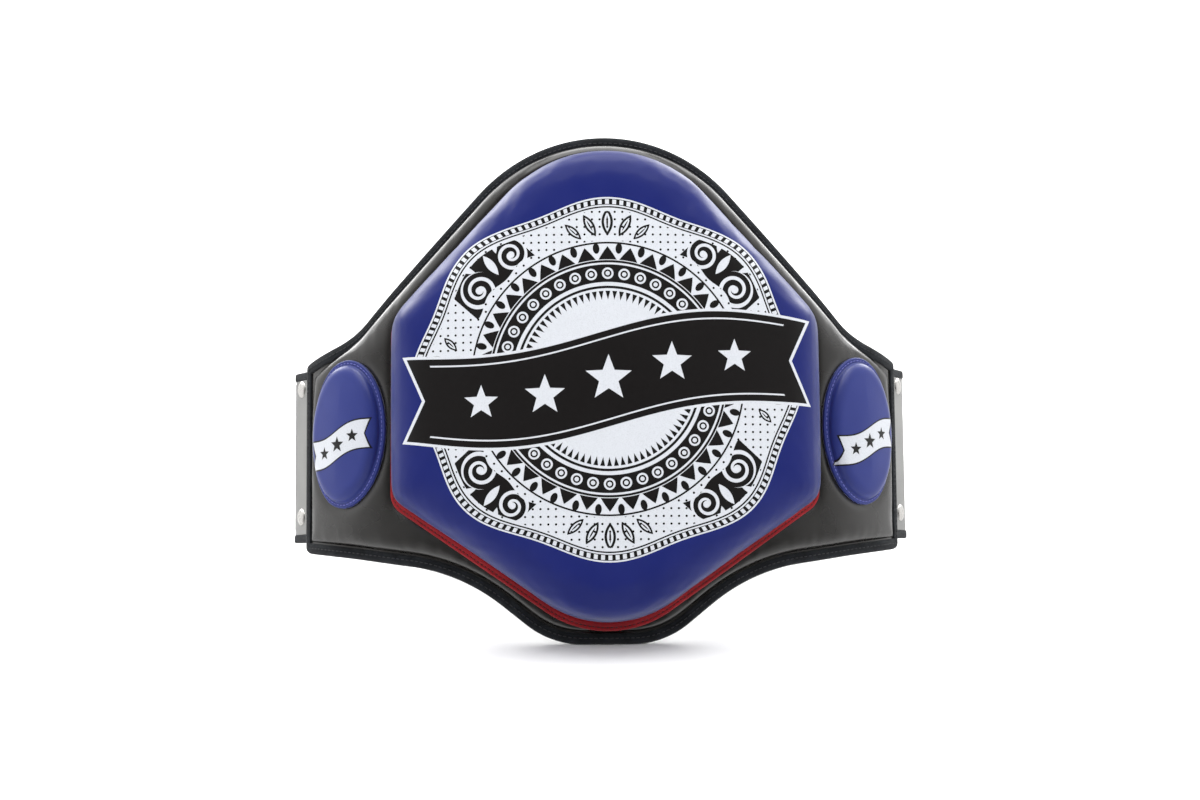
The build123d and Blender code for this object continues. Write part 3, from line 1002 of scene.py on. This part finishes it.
# The tape folds over the edge: distance in from the edge and height, in mm, from front to back.
TAPE_SECTION = [
    (9.0, -2.4), (9.15, -1.5), (8.7, -1.0), (7.4, -0.75), (5.0, -0.55), (2.8, -0.7), (1.2, -1.3), (0.3, -2.5),
    (0.0, -4.0), (0.3, -5.4), (1.2, -6.5), (2.8, -7.0), (5.5, -7.1), (8.0, -6.9), (9.0, -6.6), (9.1, -6.0),
    (8.2, -4.2),
]


binding = sweep("edge_binding_tape", SHELL_LINE, TAPE_LINE, TAPE, TAPE_SECTION, wrap_edge, [M_TAPE])
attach(binding, "pad")
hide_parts("binding_top", "binding_bottom", "binding_left_end", "binding_right_end")
seam_line = SHELL_LINE + (TAPE_LINE - SHELL_LINE) * (0.0052 / TAPE)
for label, n in (("front", -0.00052), ("back", -0.0071)):
    path, lift = row_on(wrap_edge, seam_line, n, 0.0004 if label == "front" else -0.0004)
    stitches("binding_stitches_" + label, path, lift, M_THREAD_DARK, "pad", 0.0042, 0.0032, 0.0004)

# ---- red flange
# Distance in from the edge and height, in mm, of a section with a groove at each row of stitches.
FLANGE_SECTION = [
    (20.0, 1.6), (12.0, 1.6), (8.0, 1.75), (7.2, 1.5), (6.4, 1.75), (4.6, 1.8), (3.4, 1.7), (2.7, 1.35),
    (2.0, 1.65), (1.0, 1.55), (0.3, 1.2), (0.0, 0.5), (0.2, -0.3), (0.9, -0.7), (12.0, -0.7), (20.0, -0.7),
]
flange = sweep("pad_flange_leather", FLANGE_LINE, FLANGE_IN, FLANGE_WIDTH, FLANGE_SECTION, wrap, [M_RED])
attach(flange, "pad")
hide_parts("pad_flange")
for label, inward, n in (("outer", 2.7, 1.45), ("inner", 7.2, 1.6)):
    line = FLANGE_LINE + (FLANGE_IN - FLANGE_LINE) * (inward * MM / FLANGE_WIDTH)
    path, lift = row_on(wrap, line, n * MM)
    stitches("flange_stitches_" + label, path, lift, M_THREAD_RED, "pad", 0.0036, 0.0028, 0.00042)

# ---- strike pad
pad_corners = whole(PAD)
pad_xz, pad_counts = loop(pad_corners)
ROLL = 0.026
roll_xz, _ = loop(inset(pad_corners, ROLL), pad_counts)
PAD_MID = np.array([0.0, 0.205])
PAD_FRONT, PAD_CROWN, PAD_BACK = 0.0494, 0.0020, 0.0012
# The pad's wall: distance in from its outline and height, in mm, up to its rolled edge.
PAD_SIDE = [
    (3.0, 1.2), (1.6, 2.2), (0.8, 4.0), (0.0, 7.5), (-0.6, 12.0), (-0.8, 17.0), (-0.5, 22.0), (0.3, 27.0),
    (1.6, 32.0), (3.6, 36.8), (6.4, 41.0), (10.0, 44.4), (14.5, 46.9), (20.0, 48.5), (26.0, 49.4),
]


def ahead(x, z, n):
    """Point at x and z, a distance n in front of the shell, so the pad's walls run straight forward."""
    return stand(x, FRONT_R - np.sqrt((FRONT_R + n) ** 2 - np.square(x)), z)


def pad_shape():
    """Vertices and faces of the pad: its wall, rolled edge, slightly crowned front and flat back."""
    rings = []
    for a, n in PAD_SIDE:
        line = pad_xz + (roll_xz - pad_xz) * (a * MM / ROLL)
        rings.append(ahead(line[:, 0], line[:, 1], n * MM))
    shares = np.linspace(1, 0, 34)[1:-1]
    for t in shares:
        line = PAD_MID + (roll_xz - PAD_MID) * t
        rings.append(ahead(line[:, 0], line[:, 1], PAD_FRONT + PAD_CROWN * (1 - t**2)))
    low = PAD_MID + (pad_xz - PAD_MID) * 0.5
    rings.insert(0, ahead(low[:, 0], low[:, 1], PAD_BACK))
    count = len(pad_xz)
    poles = [ahead(0.0, PAD_MID[1], n)[None] for n in (PAD_FRONT + PAD_CROWN, PAD_BACK)]
    pts = np.vstack(rings + poles)
    return pts, closed_rings(len(rings), count, len(pts) - 1, len(pts) - 2)


pad_points, pad_faces = pad_shape()
pad = outward(build("strike_pad_leather", pad_points, pad_faces, [M_PAD]))


def places(mesh):
    """Vertex positions of a mesh."""
    out = np.empty(len(mesh.vertices) * 3)
    mesh.vertices.foreach_get("co", out)
    return out.reshape(-1, 3)


def inflate(obj, voxel, cap, frames=20, pressure=4.0):
    """Swells a closed mesh with Cloth, limits how far each point moves, and keeps the result."""
    remesh = obj.modifiers.new("remesh", "REMESH")
    remesh.mode = "VOXEL"
    remesh.voxel_size = voxel
    bpy.context.view_layer.objects.active = obj
    obj.select_set(True)
    bpy.ops.object.modifier_apply(modifier="remesh")
    start = places(obj.data)
    cloth = obj.modifiers.new("cloth", "CLOTH")
    cloth.settings.use_pressure = True
    cloth.settings.uniform_pressure_force = pressure
    cloth.settings.effector_weights.gravity = 0
    cloth.settings.quality = 5
    cloth.point_cache.frame_start = 1
    cloth.point_cache.frame_end = frames
    scene = bpy.context.scene
    for f in range(1, frames + 1):
        scene.frame_set(f)
    bpy.context.view_layer.update()
    end = places(obj.evaluated_get(bpy.context.evaluated_depsgraph_get()).data)
    obj.modifiers.remove(cloth)
    scene.frame_set(1)
    move = end - start
    size = np.linalg.norm(move, axis=1)[:, None]
    soft = cap * np.tanh(size / cap)
    obj.data.vertices.foreach_set("co", (start + move / np.maximum(size, 1e-9) * soft).ravel())
    obj.data.update()
    sub = obj.modifiers.new("subdivide", "SUBSURF")
    sub.levels = 1
    bpy.ops.object.modifier_apply(modifier="subdivide")
    obj.select_set(False)
    obj.data.polygons.foreach_set("use_smooth", [True] * len(obj.data.polygons))


inflate(pad, voxel=0.005, cap=0.0022)
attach(pad, "pad")
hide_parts("pad_cover", "pad_foam_firm", "pad_foam_middle", "pad_foam_soft")

# ---- oval side pads
for side, label in SIDES:
    edge = oval_edges[side]
    middle = np.array([side * OVAL_S, OVAL_Z])

    def dome(points):
        d = depth_in(points, edge)
        roll = np.clip((d - 0.0046) / 0.0090, 0, 1)
        lift = 0.0074 * np.sqrt(1 - (1 - roll) ** 2) + 0.0016 * ease(d, 0.008, 0.039)
        rim = 0.0014 * np.sqrt(np.clip(1 - (1 - np.clip(d / 0.0009, 0, 1)) ** 2, 0, 1))
        groove = 0.0003 * np.exp(-(((d - 0.0027) / 0.0006) ** 2))
        return 0.0016 + rim + lift - groove + 0.0002 * ripple(points, 0.02, 2.2 + side)

    def base(points):
        return np.full(len(points), -0.0002)

    shares = two_runs(0.03, 0.84, 22, 0.86, 22)
    name = label + "_side_pad"
    oval = disc(name + "_leather", edge, middle, shares, dome, base, wrap, [M_OVALS[side]])
    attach(oval, "pad")
    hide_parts(label + "_side_pad_cover", label + "_side_pad_foam")
    row = oval_line(side, -0.0027)
    path, lift = row_on(wrap, row, 0.0028)
    stitches(name + "_stitches", path, lift, M_THREAD_BLUE, "pad", 0.0036, 0.0029, 0.0004)

# ---- end tabs
TAB_LOW, TAB_HIGH = 0.0895, 0.2290
TAB_LAYERS = (("leather", "outer", -0.0070, -0.0050), ("lining", "inner", -0.0116, -0.0100))


def plate(name, s0, s1, z0, z1, n0, n1, side, mats, puff=0.0004, radius=0.002):
    """Thin sewn layer between two lengths and two heights, with softened edges."""
    corners = [(s0, z1, radius), (s1, z1, radius), (s1, z0, radius), (s0, z0, radius)]
    line, _ = loop([(side * a, b, c) for a, b, c in corners], step=0.003)
    mid = np.array([side * (s0 + s1) / 2, (z0 + z1) / 2])

    def top(p):
        d = depth_in(p, line)
        return n1 - 0.0006 * np.exp(-d / 0.0005) + puff * rise(d, 0.008)

    def low(p):
        d = depth_in(p, line)
        return n0 + 0.0006 * np.exp(-d / 0.0005)

    shares = two_runs(0.04, 0.9, 16, 0.92, 10)
    return disc(name, line, mid, shares, top, low, wrap, mats)


for side, label in SIDES:
    start = WING_S - 0.007
    for layer, node, n0, n1 in TAB_LAYERS:
        name = label + "_tab_" + layer
        sheet = plate(name, start, TAB_S, TAB_LOW, TAB_HIGH, n0, n1, side, [M_TAB])
        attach(sheet, "pad")
        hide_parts(label + "_tab_" + node)
    start, stop = WING_S - 0.004, TAB_S + 0.0006
    for level, edge_z, below, above in (("upper", TAB_HIGH, 0.004, 0.003), ("lower", TAB_LOW, 0.003, 0.004)):
        name = label + "_tab_binding_" + level
        z0, z1 = edge_z - below, edge_z + above
        fold = plate(name, start, stop, z0, z1, -0.0124, -0.0042, side, [M_TAPE], 0.0003)
        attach(fold, "pad")

# ---- rivets
RIVET_S = WING_S + 0.016
CAP_SIDES = 40
CAP_TOP = 2.6
# Radius and height of the cap, in mm, from near its middle to under its rim.
CAP_PROFILE = [
    (1.5, 2.55), (3.0, 2.4), (4.5, 2.1), (5.8, 1.65), (6.7, 1.1), (7.15, 0.6), (7.3, 0.15), (7.1, -0.2),
    (6.0, -0.3),
]
for side, label in SIDES:
    for level, z in (("lower", 0.1083), ("upper", 0.2177)):
        base = wrap(side * RIVET_S, z, -0.0050)
        out = wrap(side * RIVET_S, z, -0.0040) - base
        out /= np.linalg.norm(out)
        up = wrap(side * RIVET_S, z + 0.001, -0.0050) - base
        up /= np.linalg.norm(up)
        across = np.cross(up, out)
        rings = []
        for r, h in CAP_PROFILE:
            a = np.linspace(0, 2 * pi, CAP_SIDES, endpoint=False)[:, None]
            rings.append(base + out * h * MM + (up * np.cos(a) + across * np.sin(a)) * r * MM)
        pts = np.vstack([[base + out * CAP_TOP * MM]] + rings)
        faces = [[0, 1 + k, 1 + (k + 1) % CAP_SIDES] for k in range(CAP_SIDES)]
        faces += ring_quads(len(rings), CAP_SIDES, 1, turned=True)
        faces.append([1 + (len(rings) - 1) * CAP_SIDES + k for k in range(CAP_SIDES)])
        cap = outward(build(label + "_rivet_cap_" + level, pts, faces, [M_NICKEL]))
        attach(cap, "pad")
        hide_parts(label + "_rivet_" + level)
        washer = frame["nodes"][label + "_washer_" + level]
        washer.data.materials.clear()
        washer.data.materials.append(M_NICKEL)

# ---- closure straps
# Each strap follows two arcs when closed: they start at CLOSED, meet at BREAK and end at TIP.
CLOSED, BREAK, TIP = radians(100), radians(150), radians(184)
CLOSED_DEPTH = 0.222
depth = CLOSED_DEPTH - HINGE_Y
across_1, across_2 = sin(CLOSED) - sin(BREAK), sin(BREAK)
back_1, back_2 = cos(CLOSED) - cos(BREAK), cos(BREAK) + 1
BEND_R = (depth * across_2 - HINGE_X * back_2) / (back_1 * across_2 - across_1 * back_2)
BACK_R = (HINGE_X - across_1 * BEND_R) / across_2
BEND_L = BEND_R * (BREAK - CLOSED)
STRAP_L = BEND_L + BACK_R * (TIP - BREAK)
# How far each strap stands open at rest, by side.
OPENING = {1: radians(25), -1: radians(27.3)}
PANEL_LOW, PANEL_HIGH, PANEL_START = 0.08702, 0.22902, 0.085
ELASTIC_LOW, ELASTIC_HIGH = 0.097, 0.225
# Half the elastic's thickness, its lengths in the tab, at the fold and under the panel, and its rows.
ELASTIC_HALF, ANCHOR, FOLD, TUCK, ELASTIC_ROWS = 0.0014, 0.030, 0.022, 0.012, 110
ELASTIC_L = ANCHOR + PANEL_START + TUCK


def strap_plan(l, n, side):
    """Plan point of a strap at rest, on its own side of the pad."""
    c1x, c1y = HINGE_X - BEND_R * sin(CLOSED), HINGE_Y + BEND_R * cos(CLOSED)
    kx, ky = c1x + BEND_R * sin(BREAK), c1y - BEND_R * cos(BREAK)
    c2x, c2y = kx - BACK_R * sin(BREAK), ky + BACK_R * cos(BREAK)
    t1 = CLOSED + l / BEND_R
    t2 = BREAK + (l - BEND_L) / BACK_R
    near = l < BEND_L
    x = np.where(near, c1x + (BEND_R + n) * np.sin(t1), c2x + (BACK_R + n) * np.sin(t2))
    y = np.where(near, c1y - (BEND_R + n) * np.cos(t1), c2y - (BACK_R + n) * np.cos(t2))
    a = -OPENING[side]
    dx, dy = x - HINGE_X, y - HINGE_Y
    return HINGE_X + dx * cos(a) - dy * sin(a), HINGE_Y + dx * sin(a) + dy * cos(a)


def strap_place(side):
    """Place of a point at a length, height and distance out on one strap at rest."""

    def place(l, z, n):
        l, z, n = np.broadcast_arrays(np.asarray(l, float), np.asarray(z, float), np.asarray(n, float))
        x, y = strap_plan(l, n, side)
        return stand(side * x, y, z)

    return place


for side, label in SIDES:
    body = "strap_" + label
    place = strap_place(side)
    low_n = 0.0015 if side > 0 else -0.0075
    high_n = low_n + 0.006
    corners = [
        (PANEL_START, PANEL_HIGH, 0.004),
        (STRAP_L, PANEL_HIGH, 0.025),
        (STRAP_L, PANEL_LOW, 0.025),
        (PANEL_START, PANEL_LOW, 0.004),
    ]
    edge, counts = loop(corners)
    inner, _ = loop(inset(corners, PANEL_TAPE), counts)
    mid = np.array([(PANEL_START + STRAP_L) / 2, (PANEL_LOW + PANEL_HIGH) / 2])
    core_line = edge + (inner - edge) * (0.005 / PANEL_TAPE)

    def face(p):
        d = depth_in(p, edge)
        return high_n - 0.0009 + 0.0016 * rise(d - PANEL_TAPE, 0.014) + 0.0003 * ripple(p, 0.03, 4.0 + side)

    def back(p):
        d = depth_in(p, edge)
        return low_n + 0.0009 - 0.0010 * rise(d - PANEL_TAPE, 0.014) + 0.0002 * ripple(p, 0.03, 5.0 + side)

    shares = two_runs(0.03, 0.86, 30, 0.88, 12)
    panel = disc(label + "_panel_cushion", core_line, mid, shares, face, back, place, [M_PANEL, M_LINER])
    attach(panel, body)
    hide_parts(label + "_panel_leather", label + "_panel_foam", label + "_panel_lining")
    m = (low_n + high_n) / 2 / MM
    half = [(8.0, 2.2), (8.1, 2.9), (7.4, 3.25), (5.0, 3.4), (2.6, 3.2), (1.0, 2.3), (0.2, 1.2)]
    section = [(a, m + h) for a, h in half] + [(0.0, m)] + [(a, m - h) for a, h in reversed(half)]
    band = sweep(label + "_panel_binding_tape", edge, inner, PANEL_TAPE, section, place, [M_TAPE])
    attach(band, body)
    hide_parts(label + "_panel_binding")
    seam = edge + (inner - edge) * (0.0064 / PANEL_TAPE)
    for which, n, up in (("face", m + 3.3, 0.0004), ("back", m - 3.3, -0.0004)):
        path, lift = row_on(place, seam, n * MM, up)
        stitches(label + "_panel_stitches_" + which, path, lift, M_THREAD_DARK, body, 0.0042, 0.0032, 0.0004)

    # Hook patch inside the right panel, loop patch outside the left one.
    stop = STRAP_L - 0.014
    size = 0.080 if side > 0 else 0.130
    patch_mat = M_HOOK if side > 0 else M_LOOP
    z0, z1 = PANEL_LOW + 0.014, PANEL_HIGH - 0.014
    p_corners = [(stop - size, z1, 0.003), (stop, z1, 0.012), (stop, z0, 0.012), (stop - size, z0, 0.003)]
    p_edge, _ = loop(p_corners)
    p_mid = np.array([stop - size / 2, (z0 + z1) / 2])
    sign = -1 if side > 0 else 1
    skin = low_n if side > 0 else high_n

    def patch_face(p):
        d = depth_in(p, p_edge)
        seam = 0.0005 * np.exp(-(((d - 0.0025) / 0.0007) ** 2))
        return skin + sign * (0.0013 - seam - 0.0005 * np.exp(-d / 0.0004))

    def patch_back(p):
        return np.full(len(p), skin - sign * 0.0008)

    shares = two_runs(0.04, 0.9, 16, 0.91, 14)
    node = "right_hook_patch" if side > 0 else "left_loop_patch"
    patch = disc(node + "_pile", p_edge, p_mid, shares, patch_face, patch_back, place, [patch_mat])
    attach(patch, body)
    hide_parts(node)
    p_in, _ = loop(inset(p_corners, 0.0025))
    path, lift = row_on(place, p_in, skin + sign * 0.0010, sign * 0.0004)
    stitches(node + "_stitches", path, lift, M_THREAD_DARK, body, 0.0040, 0.0030, 0.00035)

    # Elastic: from between the tab layers, round the hinge and in under the panel's tape.
    plan = []
    for s in np.linspace(TAB_S - ANCHOR, TAB_S - 0.0015, 16):
        t = WING_A + (s - WING_S) / TAB_R
        plan.append((TAB_X + (TAB_R - 0.0085) * sin(t), TAB_Y - (TAB_R - 0.0085) * cos(t)))
    for l in np.linspace(0.0, PANEL_START + TUCK, 60):
        plan.append(strap_plan(max(l, 0.004), 0.0, side))
    plan = resample(np.array(plan, float), ELASTIC_ROWS, closed=False)
    way = tangents(plan, closed=False)
    for _ in range(6):
        way[1:-1] = way[1:-1] + 0.5 * (way[:-2] + way[2:])
        way /= np.linalg.norm(way, axis=1)[:, None]
    zs = np.linspace(ELASTIC_LOW + 0.0012, ELASTIC_HIGH - 0.0012, 24)
    rim = [(z, ELASTIC_HALF) for z in zs] + [(ELASTIC_HIGH, 0.0)]
    rim += [(z, -ELASTIC_HALF) for z in zs[::-1]] + [(ELASTIC_LOW, 0.0)]
    pts = []
    for (x, y), (dx, dy) in zip(plan, way):
        pts.append([stand(side * (x + dy * n), y - dx * n, z) for z, n in rim])
    webbing = np.array(pts)
    elastic = outward(lattice(label + "_elastic_webbing", webbing, [M_ELASTIC], close_cols=True, caps=True))
    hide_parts(label + "_elastic", label + "_elastic_anchor")
    # Points at both ends of the stretch just behind the tab, over which it would turn with the strap; nothing
    # uses them.
    rows = [round(ELASTIC_ROWS * at / ELASTIC_L) for at in (ANCHOR, ANCHOR + FOLD)]
    start, end = [stand(side * plan[row][0], plan[row][1], 0.16) for row in rows]
    tuple(start)
    tuple(end)
    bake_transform(elastic)

# ---- floor, light and camera
floor_mat, floor_tree, floor_shader = nodes_of("floor_white")
floor_noise = noise_tex(floor_tree, object_coords(floor_tree), 3.0, 2.0)
colour(floor_tree, floor_shader, floor_noise, [(0.3, (0.90, 0.90, 0.905)), (0.7, (0.92, 0.92, 0.92))])
put(floor_shader, {"Roughness": 0.9, "Specular IOR Level": 0.1, "Emission Color": (1.0, 1.0, 1.0, 1.0)})
# The sweep glows more away from the object, so that it stays white out to its far edges.
far_off = add(floor_tree, "ShaderNodeVectorMath", operation="LENGTH")
floor_tree.links.new(object_coords(floor_tree), far_off.inputs[0])
glow = span(floor_tree, far_off.outputs["Value"], 0.9, 2.6, 0.05, 0.95)
floor_tree.links.new(glow, floor_shader.inputs["Emission Strength"])
BACK_Y, BACK_HIGH, FLOOR_REACH, BEND = 10.0, 6.0, 40.0, 1.0
line = [(-FLOOR_REACH, 0.0), (BACK_Y - BEND, 0.0)]
line += [(BACK_Y - BEND + BEND * sin(a), BEND - BEND * cos(a)) for a in np.linspace(0.1, pi / 2, 12)]
line += [(BACK_Y, BACK_HIGH)]
floor_pts = np.array([[(x, y, z) for x in (-FLOOR_REACH, FLOOR_REACH)] for y, z in line])
floor = lattice("floor_sweep", floor_pts, [floor_mat], flip=True)
floor.visible_glossy = False

world = bpy.data.worlds.new("studio")
bpy.context.scene.world = world
world.use_nodes = True
# A white tent round the sides, top and back; the open front is darker.
tent = world.node_tree
facing = add(tent, "ShaderNodeSeparateXYZ")
tent.links.new(add(tent, "ShaderNodeTexCoord").outputs["Generated"], facing.inputs[0])
shade = span(tent, facing.outputs["Y"], -0.90, -0.10, 0.08, 1.0)
tone = ramp(tent, shade, [(0.0, (0.0, 0.0, 0.0)), (1.0, (1.0, 1.0, 1.0))])
tent.links.new(tone, tent.nodes["Background"].inputs["Color"])
tent.nodes["Background"].inputs["Strength"].default_value = 1.0


def area(name, at, look, wide, power, tall):
    """Soft rectangular light at a place, turned to look at another."""
    data = bpy.data.lights.new(name, "AREA")
    data.energy = power
    data.shape = "RECTANGLE"
    data.size = wide
    data.size_y = tall
    obj = bpy.data.objects.new(name, data)
    bpy.context.scene.collection.objects.link(obj)
    obj.location = at
    obj.rotation_euler = (Vector(look) - Vector(at)).to_track_quat("-Z", "Y").to_euler()
    return obj


area("top_softbox", (0.0, -0.60, 1.9), (0.0, 0.0, 0.15), 1.8, 15.0, 1.1)
area("overhead_softbox", (0.0, 0.35, 1.70), (0.0, 0.0, 0.2), 0.9, 10.0, 0.8)
for x, label in ((-1.15, "left"), (1.15, "right")):
    area("high_" + label + "_softbox", (x, 0.70, 1.35), (0.0, 0.0, 0.3), 1.1, 11.0, 1.3)
    area("rear_" + label + "_softbox", (x, 1.60, 1.25), (0.0, 0.0, 0.3), 1.5, 20.0, 1.0)
for x, label in ((-1.5, "left"), (1.5, "right")):
    fill = area("front_" + label + "_softbox", (x, -1.7, 1.7), (0.0, 0.0, 0.2), 1.4, 13.0, 1.2)
    fill.visible_glossy = False

# The camera looks at aim, given in the upright frame, with its turn, tilt and distance from there.
VIEW_TILT = radians(5.5)
VIEW_TURN = radians(2.0)
VIEW_FAR = 1.650
SENSOR, FOCAL_SHARE = 36.0, 2075.0 / 1200.0
aim = np.array([-0.006, -0.025, 0.194])
way = np.array([sin(VIEW_TURN) * cos(VIEW_TILT), cos(VIEW_TURN) * cos(VIEW_TILT), sin(VIEW_TILT)])
spot = aim - VIEW_FAR * way
here = stand(*spot)
there = stand(*aim)
camera_data = bpy.data.cameras.new("camera")
camera_data.sensor_width = SENSOR
camera_data.lens = FOCAL_SHARE * SENSOR
camera = bpy.data.objects.new("camera", camera_data)
bpy.context.scene.collection.objects.link(camera)
camera.location = tuple(here)
camera.rotation_euler = (Vector(there) - Vector(here)).to_track_quat("-Z", "Y").to_euler()
bpy.context.scene.camera = camera
bpy.context.scene.view_settings.view_transform = "Standard"
